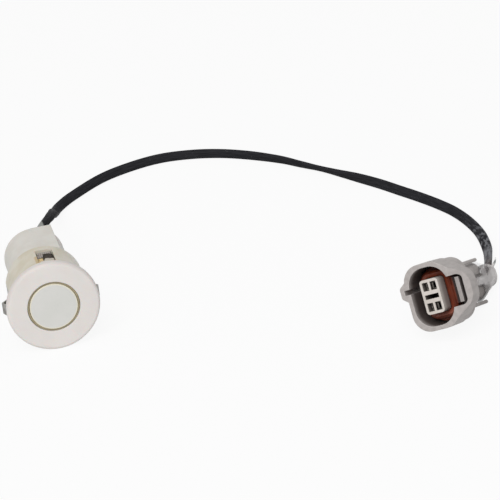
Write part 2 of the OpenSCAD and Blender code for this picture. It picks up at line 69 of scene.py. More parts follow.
# Sensor sizes.
FACE_R, CUP_BORE_R = 6.65, 5.55
RING_FRONT, RING_LEN, RING_NECK_R, BORE_R = -1.6, 7.0, 7.3, 9.55
FOAM_R, FOAM_FROM, FOAM_TO = 7.2, 7.05, 11.45
FOAM_ROWS, FOAM_SIDES = 25, 320
FOAM_SWELL, FOAM_CREEP, FOAM_PIT = 0.85, 0.8, 0.05
PIEZO_Y, PAD_Y, SEALANT_Y, SEALANT_END = -1.1, -0.6, 2.0, 5.8
LEAD_D, SIGNAL_X, GROUND_X = 0.6, 1.6, -4.6
BOARD_Y, LEAD_END = 21.0, 21.6
COLLAR_RIB_PITCH = 0.55

# Cable sizes and the place where it leaves the housing.
CABLE_W, CABLE_T = 3.1, 1.9
EXIT_X, EXIT_Z, GROMMET_END = 3.6, 6.2, 38.0
CORE_D, CORE_GAP = 1.0, 1.45
EDGE_Z = 1.6

# Plug sizes.
TOWER_W, TOWER_H, TOWER_R, TOWER_Y = 5.4, 9.4, 0.9, 4.4
MOUTH_W, MOUTH_H, MOUTH_R = 11.6, 16.0, 5.0
EAR_FROM, EAR_END, EAR_H, EAR_R = 2.9, 6.6, 7.6, 1.0
POCKET_END, POCKET_H, POCKET_R = 9.0, 8.4, 1.4
RIB_X, RIB_W, RIB_H = 7.55, 1.1, 6.8
PIN_Z, WIRE_D, CRIMP_END, SOCKET_END = 2.8, 1.2, 14.5, 28.0
CABLE_START, SLEEVE_FROM, SLEEVE_END = 36.5, 24.0, 37.5
SLEEVE_H, SLEEVE_W, SLEEVE_END_H, SLEEVE_END_W, SLEEVE_LIFT = 10.7, 5.1, 5.5, 4.7, 0.4
FIT = 0.05


def turn(axis, degrees):
    """Matrix of a turn about one axis."""
    return np.array(Matrix.Rotation(math.radians(degrees), 3, axis))


PLUG_TURN = turn("Z", PLUG_YAW) @ turn("X", PLUG_PITCH) @ turn("Y", PLUG_ROLL)


def on_plug(points):
    """Points of the plug's own axes, turned and moved to where the plug lies."""
    return np.asarray(points) @ PLUG_TURN.T + PLUG_AT


def unit(vectors):
    """Vectors scaled to length one."""
    return vectors / np.linalg.norm(vectors, axis=-1, keepdims=True)


# Outlines and profiles: arrays of two columns.

def ease(t):
    """A step from 0 to 1 with level ends: 3 t^2 - 2 t^3."""
    t = np.clip(t, 0, 1)
    return t * t * (3 - 2 * t)


def disc(radius, sides=24):
    """Circle: the radius times the cosine and sine of an even sweep of angles."""
    a = np.arange(sides) * 2 * np.pi / sides
    return radius * np.stack([np.cos(a), np.sin(a)], -1)


def round_rect(w, h, r, steps=9):
    """Rectangle with round corners: a quarter circle about each corner's centre, joined by straight sides."""
    quarter = np.linspace(0, np.pi / 2, steps)
    a = (np.arange(4)[:, None] * np.pi / 2 + quarter).ravel()
    sx = np.repeat([1, -1, -1, 1], steps) * (w / 2 - r)
    sz = np.repeat([1, 1, -1, -1], steps) * (h / 2 - r)
    return np.stack([sx + r * np.cos(a), sz + r * np.sin(a)], -1)


def oval(w, t, steps=13):
    """Flat oval with its long side level: half a circle about each end, joined by straight sides."""
    half = np.linspace(-np.pi / 2, np.pi / 2, steps)
    a = np.concatenate([half, half + np.pi])
    shift = np.repeat([1, -1], steps) * (w - t) / 2
    return np.stack([shift + t / 2 * np.cos(a), t / 2 * np.sin(a)], -1)


def soften(profile, reach, steps=5, closed=True):
    """Profile with soft corners: each is cut back by a reach, and a quadratic curve joins the cut points."""
    p = np.asarray(profile, float)
    before, after = np.roll(p, 1, 0) - p, np.roll(p, -1, 0) - p
    cut_before = np.minimum(reach, 0.5 * np.linalg.norm(before, axis=1))[:, None]
    cut_after = np.minimum(reach, 0.5 * np.linalg.norm(after, axis=1))[:, None]
    a, b = p + unit(before) * cut_before, p + unit(after) * cut_after
    t = np.linspace(0, 1, steps)[None, :, None]
    curve = (1 - t) ** 2 * a[:, None] + 2 * t * (1 - t) * p[:, None] + t ** 2 * b[:, None]
    if closed:
        return curve.reshape(-1, 2)
    return np.concatenate([p[:1], curve[1:-1].reshape(-1, 2), p[-1:]])


# Rings of points: arrays of ring, point and axis.

def stations(outlines, ys):
    """Outlines in X and Z, each set at its own station along Y."""
    outlines = np.asarray(outlines)
    y = np.broadcast_to(np.asarray(ys, float)[:, None], outlines.shape[:2])
    return np.stack([outlines[..., 0], y, outlines[..., 1]], -1)


def lathe(profile, sides=96):
    """Surface turned round Y: each profile point, a radius and a station, makes one circle."""
    p = np.asarray(profile, float)
    a = np.arange(sides) * 2 * np.pi / sides
    x, z = p[:, :1] * np.cos(a), p[:, :1] * np.sin(a)
    return np.stack([x, np.broadcast_to(p[:, 1:], x.shape), z], -1)


def smooth_line(points, fine):
    """Curve through points: on each span a cubic with end slopes of half the chord between the neighbours."""
    p = np.asarray(points, float)
    p = np.concatenate([2 * p[:1] - p[1:2], p, 2 * p[-1:] - p[-2:-1]])
    a, b, c, d = p[:-3, None], p[1:-2, None], p[2:-1, None], p[3:, None]
    t = (np.arange(fine) / fine)[None, :, None]
    square, cube = a - 2.5 * b + 2 * c - 0.5 * d, 0.5 * (3 * b - 3 * c + d - a)
    spans = b + 0.5 * t * (c - a) + t ** 2 * square + t ** 3 * cube
    return np.concatenate([spans.reshape(-1, p.shape[1]), p[-2:-1]])


def sweep(line, outline, rolls=0.0):
    """Profile carried along a line. Its long side is level at roll 0 and upright at roll 90."""
    ahead = unit(np.gradient(line, axis=0))
    level = unit(np.cross(ahead, [0.0, 0.0, 1.0]))
    rise = np.cross(level, ahead)
    roll = np.radians(np.broadcast_to(rolls, len(line)))[:, None]
    wide = level * np.cos(roll) + rise * np.sin(roll)
    thin = rise * np.cos(roll) - level * np.sin(roll)
    return line[:, None] + outline[None, :, :1] * wide[:, None] + outline[None, :, 1:] * thin[:, None]


def run_of(line, outline):
    """Place on a swept skin: the two sides of its outline, and the distance along its line."""
    along = np.concatenate([[0], np.cumsum(np.linalg.norm(np.diff(line, axis=0), axis=1))])
    across = np.broadcast_to(outline[None], (len(line), *outline.shape))
    return np.concatenate([across, np.broadcast_to(along[:, None, None], (*across.shape[:2], 1))], -1)


# Meshes and pieces.

def ring_faces(first, rings, around, loop):
    """Corner numbers of the quads between neighbouring rings, and of the two end caps of an open run."""
    i = np.arange(rings if loop else rings - 1)[:, None]
    k = np.arange(around)[None]
    here, there = first + i * around, first + (i + 1) % rings * around
    quads = np.stack([here + k, here + (k + 1) % around, there + (k + 1) % around, there + k], -1)
    faces = quads.reshape(-1, 4).tolist()
    if not loop:
        last = first + (rings - 1) * around
        faces += [list(range(first, first + around))[::-1], list(range(last, last + around))]
    return faces


def piece(name, shells, stands_for, finish, sharp=40, run=None):
    """One object from closed shells, each given as rings and whether its last ring joins its first.

    A run gives each point its place on a swept skin, for patterns that follow the skin.
    """
    points, faces, first = [], [], 0
    for rings, loop in shells:
        faces += ring_faces(first, rings.shape[0], rings.shape[1], loop)
        points.append(rings.reshape(-1, 3) * MM)
        first += rings.shape[0] * rings.shape[1]
    mesh = bpy.data.meshes.new(name)
    mesh.from_pydata(np.concatenate(points).tolist(), [], faces)
    work = bmesh.new()
    work.from_mesh(mesh)
    bmesh.ops.recalc_face_normals(work, faces=work.faces)
    work.to_mesh(mesh)
    work.free()
    if run is not None:
        mesh.attributes.new("run", "FLOAT_VECTOR", "POINT").data.foreach_set("vector", (run * MM).ravel())
    mesh.shade_smooth()
    mesh.set_sharp_from_angle(angle=math.radians(sharp))
    mesh.materials.append(finish)
    made = bpy.data.objects.new(name, mesh)
    bpy.context.scene.collection.objects.link(made)
    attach(made, "root")
    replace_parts(made, stands_for)
    return made


# Finishes. Their patterns, too, are written in millimetres.

# Numbers of the colour sockets of a mix node: its two inputs and its result.
MIX_LOW, MIX_HIGH, MIX_RESULT = 6, 7, 2
BEVEL_SAMPLES = 8


def srgb(red, green, blue):
    """Linear colour of a screen colour from 0 to 255."""
    c = np.array([red, green, blue]) / 255
    linear = np.where(c <= 0.04045, c / 12.92, ((c + 0.055) / 1.055) ** 2.4)
    return (*linear.tolist(), 1.0)


class Finish:
    """One Principled material. Each method adds a pattern node and gives its output."""

    def __init__(self, name, **constants):
        self.material = bpy.data.materials.new(name)
        self.material.use_nodes = True
        self.tree = self.material.node_tree
        self.shader = self.tree.nodes["Principled BSDF"]
        self.place = self.add("ShaderNodeTexCoord").outputs["Object"]
        for socket, value in constants.items():
            self.shader.inputs[socket.replace("_", " ")].default_value = value

    def add(self, kind, **settings):
        """New node with these settings."""
        node = self.tree.nodes.new(kind)
        for key, value in settings.items():
            setattr(node, key, value)
        return node

    def feed(self, socket, value):
        """Sets a socket to a constant, or links an output to it."""
        if isinstance(value, bpy.types.NodeSocket):
            self.tree.links.new(value, socket)
        else:
            socket.default_value = value

    def on_plug_axes(self):
        """Patterns after this read their place in the plug's own axes."""
        node = self.add("ShaderNodeMapping", vector_type="TEXTURE")
        self.feed(node.inputs["Vector"], self.place)
        node.inputs["Location"].default_value = (PLUG_AT * MM).tolist()
        node.inputs["Rotation"].default_value = Matrix(PLUG_TURN.tolist()).to_euler("XYZ")
        self.place = node.outputs[0]

    def on_run(self):
        """Patterns after this read their place on the piece's swept skin."""
        self.place = self.add("ShaderNodeAttribute", attribute_name="run").outputs["Vector"]

    def math(self, operation, *values):
        """Result of one operation on outputs or constants."""
        node = self.add("ShaderNodeMath", operation=operation)
        for socket, value in zip(node.inputs, values):
            self.feed(socket, value)
        return node.outputs[0]

    def axis(self, letter):
        """Place along one axis."""
        node = self.add("ShaderNodeSeparateXYZ")
        self.feed(node.inputs[0], self.place)
        return self.math("DIVIDE", node.outputs[letter], MM)

    def length(self, one, other):
        """Length of a vector of two parts."""
        squares = [self.math("MULTIPLY", part, part) for part in (one, other)]
        return self.math("SQRT", self.math("ADD", *squares))

    def noise(self, grain, detail=3.0, stretch=(1, 1, 1)):
        """Noise with grains of about this size, longer along an axis of small stretch."""
        turned = self.add("ShaderNodeMapping")
        self.feed(turned.inputs["Vector"], self.place)
        turned.inputs["Scale"].default_value = stretch
        node = self.add("ShaderNodeTexNoise")
        self.feed(node.inputs["Vector"], turned.outputs[0])
        node.inputs["Scale"].default_value = 1 / (grain * MM)
        node.inputs["Detail"].default_value = detail
        return node.outputs[0]

    def band(self, value, low, high, to_low=0.0, to_high=1.0):
        """Smooth step of a value from low to high."""
        node = self.add("ShaderNodeMapRange", interpolation_type="SMOOTHSTEP")
        for socket, number in zip(node.inputs, (value, low, high, to_low, to_high)):
            self.feed(socket, number)
        return node.outputs[0]

    def both(self, *shares):
        """Product of shares."""
        product = shares[0]
        for share in shares[1:]:
            product = self.math("MULTIPLY", product, share)
        return product

    def either(self, one, other):
        """Larger of two shares."""
        return self.math("MAXIMUM", one, other)

    def rest_of(self, share):
        """What a share leaves of 1."""
        return self.math("SUBTRACT", 1.0, share)

    def between(self, value, low, high, soft):
        """Share that is 1 between two lengths and fades over a soft edge."""
        return self.both(self.band(value, low - soft, low), self.band(value, high + soft, high))

    def within(self, across, up, width, height, corner, centre=0.0):
        """Share that is 1 inside an outline with round corners.

        The distance from the outline's core is set against the radius of its corners.
        """
        beyond = []
        for place, size in ((self.math("SUBTRACT", across, centre), width), (up, height)):
            over = self.math("SUBTRACT", self.math("ABSOLUTE", place), size / 2 - corner)
            beyond.append(self.math("MAXIMUM", over, 0.0))
        return self.band(self.length(*beyond), corner + 0.15, corner + 0.05)

    def rounded_normal(self, reach):
        """Normal of the surface with its edges rounded."""
        node = self.add("ShaderNodeBevel", samples=BEVEL_SAMPLES)
        node.inputs["Radius"].default_value = reach * MM
        return node.outputs[0]

    def edges(self, reach):
        """Share that rises towards an edge: how far the rounded normal leans from the true one."""
        along = self.add("ShaderNodeVectorMath", operation="DOT_PRODUCT")
        self.feed(along.inputs[0], self.rounded_normal(reach))
        self.feed(along.inputs[1], self.add("ShaderNodeNewGeometry").outputs["True Normal"])
        return self.band(along.outputs["Value"], 0.99, 0.75)

    def mix(self, share, low, high):
        """Colour that goes from low to high with a share."""
        node = self.add("ShaderNodeMix", data_type="RGBA")
        self.feed(node.inputs["Factor"], share)
        self.feed(node.inputs[MIX_LOW], low)
        self.feed(node.inputs[MIX_HIGH], high)
        return node.outputs[MIX_RESULT]

    def colour(self, value):
        """Sets the base colour."""
        self.feed(self.shader.inputs["Base Color"], value)

    def roughness(self, value, low, high):
        """Roughness that follows a pattern between two levels."""
        self.feed(self.shader.inputs["Roughness"], self.band(value, 0.25, 0.75, low, high))

    def relief(self, height, depth, edge=0.0):
        """Bump of a pattern over edges that are rounded in shading."""
        bump = self.add("ShaderNodeBump")
        self.feed(bump.inputs["Height"], height)
        bump.inputs["Distance"].default_value = depth * MM
        bump.inputs["Strength"].default_value = 1.0
        if edge:
            self.feed(bump.inputs["Normal"], self.rounded_normal(edge))
        self.feed(self.shader.inputs["Normal"], bump.outputs[0])


def moulded(name, pale, deep, rough=(0.4, 0.52), grain=0.35, depth=0.012, edge=0.25, cloud=5.0):
    """Moulded plastic: cloudy tone, fine spark-eroded grain and softened edges."""
    f = Finish(name)
    grains = f.noise(grain, 4)
    f.colour(f.mix(f.band(f.noise(cloud, 4), 0.35, 0.65), srgb(*pale), srgb(*deep)))
    f.roughness(grains, *rough)
    f.relief(grains, depth, edge)
    return f.material


def rubber(name, pale, deep, rough=(0.55, 0.75)):
    """Rubber or plain insulation: soft tone, dull skin with a fine grain."""
    return moulded(name, pale, deep, rough, grain=0.3, depth=0.015, edge=0.0, cloud=2.5)


def metal(name, pale, deep, rough):
    """Tinned or silvered metal with a cloudy tarnish."""
    f = Finish(name, Metallic=1.0)
    f.colour(f.mix(f.band(f.noise(0.9, 4), 0.35, 0.7), srgb(*pale), srgb(*deep)))
    f.roughness(f.noise(0.25, 3), *rough)
    f.relief(f.noise(0.3, 3), 0.006, 0.08)
    return f.material


def bezel_finish():
    """Flange with a thin satin paint, painted darker on its upper edge as painted shade, and a barrel left in
    waxy cream plastic.

    The cream is painted darker and browner near the flange, painted shade under it, and lighter towards its
    right side, painted light. The left side of each window is stained amber.
    """
    f = Finish("bezel_paint_and_cream", Specular_IOR_Level=0.35, Subsurface_Weight=0.08,
               Subsurface_Scale=2 * MM)
    across, back, up = f.axis("X"), f.axis("Y"), f.axis("Z")
    clouds = f.noise(4.5, 4)
    body = f.mix(f.band(f.noise(9, 2), 0.3, 0.7), srgb(226, 221, 217), srgb(222, 217, 213))
    # The upper rounded edge of the flange is painted darker: painted shade that damps the highlight there.
    upper_edge = f.both(f.band(f.length(across, up), 12.1, 12.7), f.band(up, -1, 6))
    paint = f.mix(upper_edge, body, srgb(211, 205, 201))
    even = f.mix(f.band(clouds, 0.35, 0.68), srgb(206, 201, 187), srgb(199, 191, 171))
    # The cream is painted lighter towards its right side: painted light.
    cream = f.mix(f.band(across, 5, 9.5), even, srgb(217, 214, 203))
    # Near the flange the cream is painted darker and browner: painted shade under the flange.
    shaded_by_flange = f.mix(f.band(back, 1, 8), srgb(196, 186, 160), cream)
    by_window = f.both(f.between(across, -2.1, -1.3, 0.5), f.between(back, 5, 9, 1.5), f.band(up, 8, 9))
    stained = f.mix(f.both(by_window, 0.75), shaded_by_flange, srgb(178, 150, 96))
    ragged = f.math("ADD", back, f.both(f.math("SUBTRACT", f.noise(0.7, 3), 0.5), 0.3))
    f.colour(f.mix(f.band(ragged, -0.12, 0.1), paint, stained))
    f.roughness(clouds, 0.36, 0.48)
    f.relief(f.noise(0.8, 2), 0.008, 0.25)
    return f.material


def face_finish():
    """Painted face: even satin, with a paler cream ring painted at its edge: a painted highlight."""
    f = Finish("face_paint")
    paint = f.mix(f.band(f.noise(6, 3), 0.3, 0.7), srgb(215, 214, 210), srgb(211, 211, 206))
    from_axis = f.length(f.axis("X"), f.axis("Z"))
    # The pale cream ring at the face's edge is a painted highlight.
    f.colour(f.mix(f.band(from_axis, 6.25, 6.5), paint, srgb(230, 224, 204)))
    f.roughness(f.noise(2, 3), 0.38, 0.5)
    f.relief(f.noise(0.7, 2), 0.007, 0.2)
    return f.material


def steel_finish():
    """Rolled spring steel: fine lines along the strip, a slight tarnish and edges rubbed bright."""
    f = Finish("spring_steel", Metallic=1.0)
    lines = f.noise(0.12, 3, (1, 0.06, 1))
    dull = f.mix(f.band(f.noise(1.6, 4), 0.35, 0.7), srgb(158, 156, 152), srgb(126, 124, 120))
    f.colour(f.mix(f.edges(0.1), dull, srgb(186, 184, 180)))
    f.roughness(lines, 0.3, 0.48)
    f.relief(lines, 0.006, 0.08)
    return f.material


def housing_finish():
    """White housing plastic. The collar and teeth inside the barrel are painted grey in fine stripes like
    moulded ribs: painted shade where the barrel hides them.
    """
    f = Finish("housing_white", Subsurface_Weight=0.06, Subsurface_Scale=2 * MM)
    grains = f.noise(0.35, 4)
    white = f.mix(f.band(f.noise(5, 4), 0.35, 0.65), srgb(211, 208, 201), srgb(205, 201, 193))
    ribs = f.band(f.math("SINE", f.both(f.axis("X"), 2 * math.pi / COLLAR_RIB_PITCH)), -0.6, 0.8)
    # The collar and teeth inside the barrel are painted grey in fine stripes: painted shade where the barrel
    # hides them.
    grey = f.mix(ribs, srgb(142, 135, 130), srgb(176, 168, 163))
    f.colour(f.mix(f.band(f.axis("Y"), 13.6, 13.8), grey, white))
    f.roughness(grains, 0.4, 0.52)
    f.relief(grains, 0.012, 0.25)
    return f.material


def plug_finish():
    """Glass-filled grey plastic: flow streaks back from the mouth, fine grain, edges rubbed paler.

    It is painted darker at the rear, and darker still low down there: painted shade on the sockets and pins.
    The walls of the mouth and of the latch pocket are painted darker with their depth, and the lock rib in
    the pocket is painted darker behind its front: painted shade in the recesses.
    """
    f = Finish("plug_grey")
    f.on_plug_axes()
    across, back, up = f.axis("X"), f.axis("Y"), f.axis("Z")
    grains = f.noise(0.4, 4)
    grey = f.mix(f.band(f.noise(1.3, 4, (1, 0.3, 1)), 0.35, 0.68), srgb(173, 167, 164), srgb(162, 156, 153))
    outer = f.mix(f.both(f.edges(0.45), 0.65), grey, srgb(201, 196, 192))
    # The rear, with the sockets and pins, is painted darker, and darker still low down: painted shade.
    rear = f.mix(f.band(up, -2, 2), srgb(138, 132, 129), srgb(160, 154, 151))
    body = f.mix(f.band(back, 21.5, 23.5), outer, rear)
    # The mouth, the latch pocket and the rib behind its front are painted darker with depth: painted shade in
    # the recesses.
    in_mouth = f.within(across, up, MOUTH_W, MOUTH_H, MOUTH_R)
    in_pocket = f.within(across, up, POCKET_END, POCKET_H, POCKET_R, POCKET_END / 2)
    on_rib = f.within(across, up, RIB_W, RIB_H, 0.1, RIB_X)
    wall, rib = f.band(back, -0.2, 3), f.band(back, 1.3, 3.4)
    depth = f.math("ADD", f.both(wall, f.rest_of(on_rib)), f.both(rib, on_rib))
    inside = f.both(f.either(in_mouth, in_pocket), depth, f.band(back, 11.5, 11.3))
    f.colour(f.mix(inside, body, srgb(84, 77, 74)))
    f.roughness(grains, 0.45, 0.6)
    f.relief(grains, 0.016, 0.3)
    return f.material


def retainer_finish():
    """Pale moulded cap, painted darker down its sides and painted dark inside its windows and its slot:
    painted shade.
    """
    f = Finish("retainer_pale")
    f.on_plug_axes()
    across, back, up = f.math("ABSOLUTE", f.axis("X")), f.axis("Y"), f.math("ABSOLUTE", f.axis("Z"))
    grains = f.noise(0.3, 4)
    clean = f.mix(f.band(f.noise(2, 4), 0.35, 0.65), srgb(207, 200, 193), srgb(197, 190, 182))
    # The sides behind the front are painted darker: painted shade.
    pale = f.mix(f.band(back, 0.7, 3), clean, srgb(158, 149, 144))
    # Inside the windows and the slot the cap is painted dark: painted shade.
    slot_or_window = f.either(f.band(up, 0.64, 0.58), f.between(up, 1.68, 3.92, 0.03))
    dirt_and_painted_shade = f.both(slot_or_window, f.band(across, 2.09, 2.03), f.band(back, 0.45, 0.9))
    f.colour(f.mix(dirt_and_painted_shade, pale, srgb(44, 38, 34)))
    f.roughness(grains, 0.45, 0.58)
    f.relief(grains, 0.01, 0.2)
    return f.material


def foam_finish():
    """Black open foam with fine pits, painted pale along its front: a painted highlight.

    A dab of set amber glue lies by the window.
    """
    f = Finish("black_foam", Specular_IOR_Level=0.2)
    across, back, up = f.axis("X"), f.axis("Y"), f.axis("Z")
    pits = f.noise(0.5, 5)
    black = f.mix(f.band(pits, 0.35, 0.65), srgb(40, 36, 33), srgb(76, 69, 62))
    dab = f.both(f.between(across, -2.2, -0.1, 0.3), f.between(back, 6, 10.4, 0.6), f.band(up, 8, 8.5))
    # The front of the foam is painted pale: a painted highlight.
    pale_front_highlight = f.mix(f.band(back, 8.4, 8.1), black, srgb(190, 183, 172))
    f.colour(f.mix(dab, pale_front_highlight, srgb(222, 198, 150)))
    f.roughness(pits, 0.8, 0.98)
    f.relief(pits, 0.2)
    return f.material


def jacket_finish():
    """Black cable jacket: drawn lines along it, pale dusty specks, and pale streaks by the plug that are a
    painted highlight.

    It is painted blackest by the housing, painted shade against its sheen there, and it has a pale patch on
    its left side where it leaves the grommet.
    By the plug it is painted pale in patches, a painted highlight, and a dusty brown before it goes into the
    sleeve.
    """
    f = Finish("cable_jacket", Specular_IOR_Level=0.008)
    across, back = f.axis("X"), f.axis("Y")
    near_plug = f.both(f.band(across, 114, 124), f.band(back, 30, 8))
    # A pale patch on the left side where the cable leaves the grommet.
    rubbed = f.both(f.band(across, 4.7, 4.2), f.band(back, 46.8, 44))
    # By the housing the jacket is painted blacker: painted shade against its sheen.
    painted_shade_by_housing = f.both(f.band(across, 16, 12), f.band(back, 90, 75))
    painted_highlight_area = f.both(f.band(across, 115, 120), f.between(back, -4.5, 1.5, 4))
    dirt_and_painted_shade = f.both(f.band(across, 112, 116), f.band(back, -3, -8.5), f.band(back, -16.5, -15.5))
    f.on_run()
    drawn = f.noise(0.22, 3, (1, 1, 0.05))
    dark = f.mix(f.band(drawn, 0.3, 0.7), srgb(34, 34, 36), srgb(50, 50, 53))
    black = f.mix(f.both(painted_shade_by_housing, 0.5), dark, srgb(14, 14, 16))
    specks = f.both(f.band(f.noise(0.42, 4), 0.58, 0.7), f.band(f.noise(9, 2), 0.45, 0.68))
    # By the plug the pale streaks and patches are a painted highlight; the fine specks all along are dust.
    highlight_streak = f.both(near_plug, f.band(f.noise(0.9, 4, (1, 1, 0.35)), 0.46, 0.64))
    dust_and_highlight = f.either(f.both(specks, 0.3), f.both(highlight_streak, 0.7))
    patchy = f.both(painted_highlight_area, f.band(f.noise(1.3, 3, (1, 1, 0.3)), 0.38, 0.62, 0.15, 0.75))
    dusted_and_highlit = f.mix(f.either(dust_and_highlight, patchy), black, srgb(138, 139, 143))
    brown = f.mix(f.both(dirt_and_painted_shade, 0.45), dusted_and_highlit, srgb(118, 110, 108))
    f.colour(f.mix(rubbed, brown, srgb(152, 153, 150)))
    f.roughness(f.noise(0.6, 4), 0.4, 0.58)
    f.relief(drawn, 0.03)
    return f.material


def sleeve_finish():
    """Milky film, clear on the sockets, along its crest and in a slanting patch over the cable's end.

    How much of it covers what is behind it follows the station, the height and the clouds. Over the lower
    wire, high up on its far side and by the upper socket it is painted greyer, painted shade; it is greyer on
    its tail too.
    """
    f = Finish("milky_sleeve", Specular_IOR_Level=0.3)
    f.on_plug_axes()
    across, back, up = f.axis("X"), f.axis("Y"), f.axis("Z")
    cloud = f.noise(1.8, 4, (1, 0.5, 1))
    milk = f.mix(f.band(cloud, 0.3, 0.7), srgb(212, 208, 207), srgb(195, 191, 190))
    # Over the lower wire, high on the far side and by the upper socket the film is painted greyer: painted
    # shade.
    low = f.both(f.band(up, -0.8, -2), f.band(back, 32.5, 30.5))
    high = f.both(f.either(f.band(across, 0, -1), f.band(back, 32.2, 31.2)), f.band(up, 0.3, 1.3))
    film = f.mix(high, f.mix(low, milk, srgb(136, 131, 129)), srgb(154, 149, 148))
    f.colour(f.mix(f.band(back, 37.6, 38.4), film, srgb(96, 102, 99)))
    middle = f.band(f.math("ABSOLUTE", up), 1.6, 0.8)
    hanging = f.either(f.band(back, 26.8, 28.6), middle)
    slant = f.math("SUBTRACT", back, f.both(up, 2.3))
    by_cable = f.both(f.band(across, 0, 0.8), f.band(slant, 30.5, 29), f.band(back, 30.8, 31.8))
    crest = f.both(f.band(up, 3.2, 3.8), f.band(back, 36.2, 35.5))
    cover = f.both(hanging, f.rest_of(f.both(f.either(by_cable, crest), 0.93)))
    milkiness = f.both(cover, f.band(cloud, 0.25, 0.75, 0.6, 0.76))
    f.feed(f.shader.inputs["Alpha"], f.math("ADD", 0.05, milkiness))
    f.roughness(cloud, 0.3, 0.45)
    f.relief(cloud, 0.06)
    return f.material


def silicone_finish():
    """Red-brown silicone: soft skin with a fine grain, painted lighter low down, painted light, and painted
    almost black in the latch pocket, painted shade.
    """
    f = Finish("red_silicone", Subsurface_Weight=0.1, Subsurface_Scale=1 * MM)
    f.on_plug_axes()
    grains = f.noise(0.35, 4)
    red = f.mix(f.band(f.noise(2.5, 4), 0.35, 0.65), srgb(116, 48, 22), srgb(91, 35, 17))
    # Low down the silicone is painted lighter: painted light.
    painted_light_low = f.mix(f.band(f.axis("Z"), -3.5, -6.5), red, srgb(150, 86, 68))
    # In the latch pocket it is painted almost black: painted shade.
    deep = f.both(f.band(f.axis("X"), 4.6, 5), f.band(f.axis("Y"), 12, 11))
    f.colour(f.mix(deep, painted_light_low, srgb(36, 18, 12)))
    f.roughness(grains, 0.38, 0.55)
    f.relief(grains, 0.015)
    return f.material


FINISH = {
    "bezel": bezel_finish(),
    "face": face_finish(),
    "steel": steel_finish(),
    "housing": housing_finish(),
    "plug": plug_finish(),
    "retainer": retainer_finish(),
    "groove": rubber("face_ring_rubber", (172, 161, 132), (160, 149, 121)),
    "foam": foam_finish(),
    "damping": rubber("damping_rubber", (98, 87, 77), (84, 74, 66)),
    "sealant": rubber("set_sealant", (203, 197, 182), (192, 185, 168), (0.35, 0.5)),
    "grommet": rubber("dark_rubber", (150, 148, 144), (120, 118, 115)),
    "jacket": jacket_finish(),
    "silicone": silicone_finish(),
    "sleeve": sleeve_finish(),
    # The tin of the terminals is painted dark: painted shade for the terminals deep in the retainer.
    "tin": metal("tinned_brass", (128, 124, 117), (92, 88, 82), (0.28, 0.45)),
    "piezo": metal("silvered_ceramic", (206, 196, 168), (184, 172, 140), (0.3, 0.5)),
    "board": moulded("green_board", (58, 104, 68), (48, 90, 58), (0.3, 0.42), 0.5, 0.01, 0.1),
    "chip": moulded("ceramic_chip", (170, 142, 104), (156, 130, 95), (0.4, 0.5), 0.2, 0.006, 0.08),
    "red_wire": rubber("red_insulation", (186, 74, 48), (172, 64, 42), (0.35, 0.5)),
    "black_wire": rubber("black_insulation", (46, 46, 48), (38, 38, 40), (0.35, 0.5)),
    "white_wire": rubber("white_insulation", (226, 222, 214), (214, 210, 200), (0.35, 0.5)),
}

CAD_FINISH = {
    "bezel": "bezel", "left_spring_clip": "steel", "right_spring_clip": "steel", "transducer_cup": "face",
    "piezo_disc": "piezo", "terminal_board": "board", "tuning_capacitor": "chip", "sensor_housing": "housing",
    "plug_housing": "plug", "front_retainer": "retainer", "upper_terminal": "tin", "lower_terminal": "tin",
}


# Camera, light and floor.

def placed(right, up, back, at):
    """Matrix of an object from its three axes and its place in metres."""
    axes = np.stack([right, up, back], -1).tolist()
    return Matrix([[*row, x] for row, x in zip(axes, at)] + [[0, 0, 0, 1]])


def make_camera():
    """Camera matrix from its heading, rise and lean: right and up are turned about the line of sight."""
    azimuth, rise, lean = (math.radians(a) for a in (CAMERA_AZIMUTH, CAMERA_RISE, CAMERA_LEAN))
    back = np.array([math.sin(azimuth) * math.cos(rise), -math.cos(azimuth) * math.cos(rise), math.sin(rise)])
    side = np.array([math.cos(azimuth), math.sin(azimuth), 0.0])
    over = np.cross(back, side)
    right = side * math.cos(lean) - over * math.sin(lean)
    up = side * math.sin(lean) + over * math.cos(lean)
    data = bpy.data.cameras.new("camera")
    data.lens, data.sensor_width, data.clip_start, data.clip_end = CAMERA_LENS, CAMERA_SENSOR, 0.01, 20
    camera = bpy.data.objects.new("camera", data)
    camera.matrix_world = placed(right, up, back, np.array(CAMERA_AT) * MM)
    bpy.context.scene.collection.objects.link(camera)
    bpy.context.scene.camera = camera


def area_lamp(name, at, aim, size, watts):
    """Square lamp at a place in metres, turned to face a point."""
    data = bpy.data.lights.new(name, "AREA")
    data.size, data.energy = size, watts
    lamp = bpy.data.objects.new(name, data)
    back = unit(np.array(at) - np.array(aim))
    side = unit(np.cross([0.0, 0.0, 1.0], back))
    lamp.matrix_world = placed(side, np.cross(back, side), back, at)
    bpy.context.scene.collection.objects.link(lamp)


def seen_directly(tree):
    """Share of rays from the camera, a reflection or through clear matter."""
    path = tree.nodes.new("ShaderNodeLightPath")
    share = path.outputs["Is Camera Ray"]
    for name in ("Is Glossy Ray", "Is Transmission Ray"):
        both = tree.nodes.new("ShaderNodeMath")
        both.operation = "MAXIMUM"
        tree.links.new(share, both.inputs[0])
        tree.links.new(path.outputs[name], both.inputs[1])
        share = both.outputs[0]
    return share


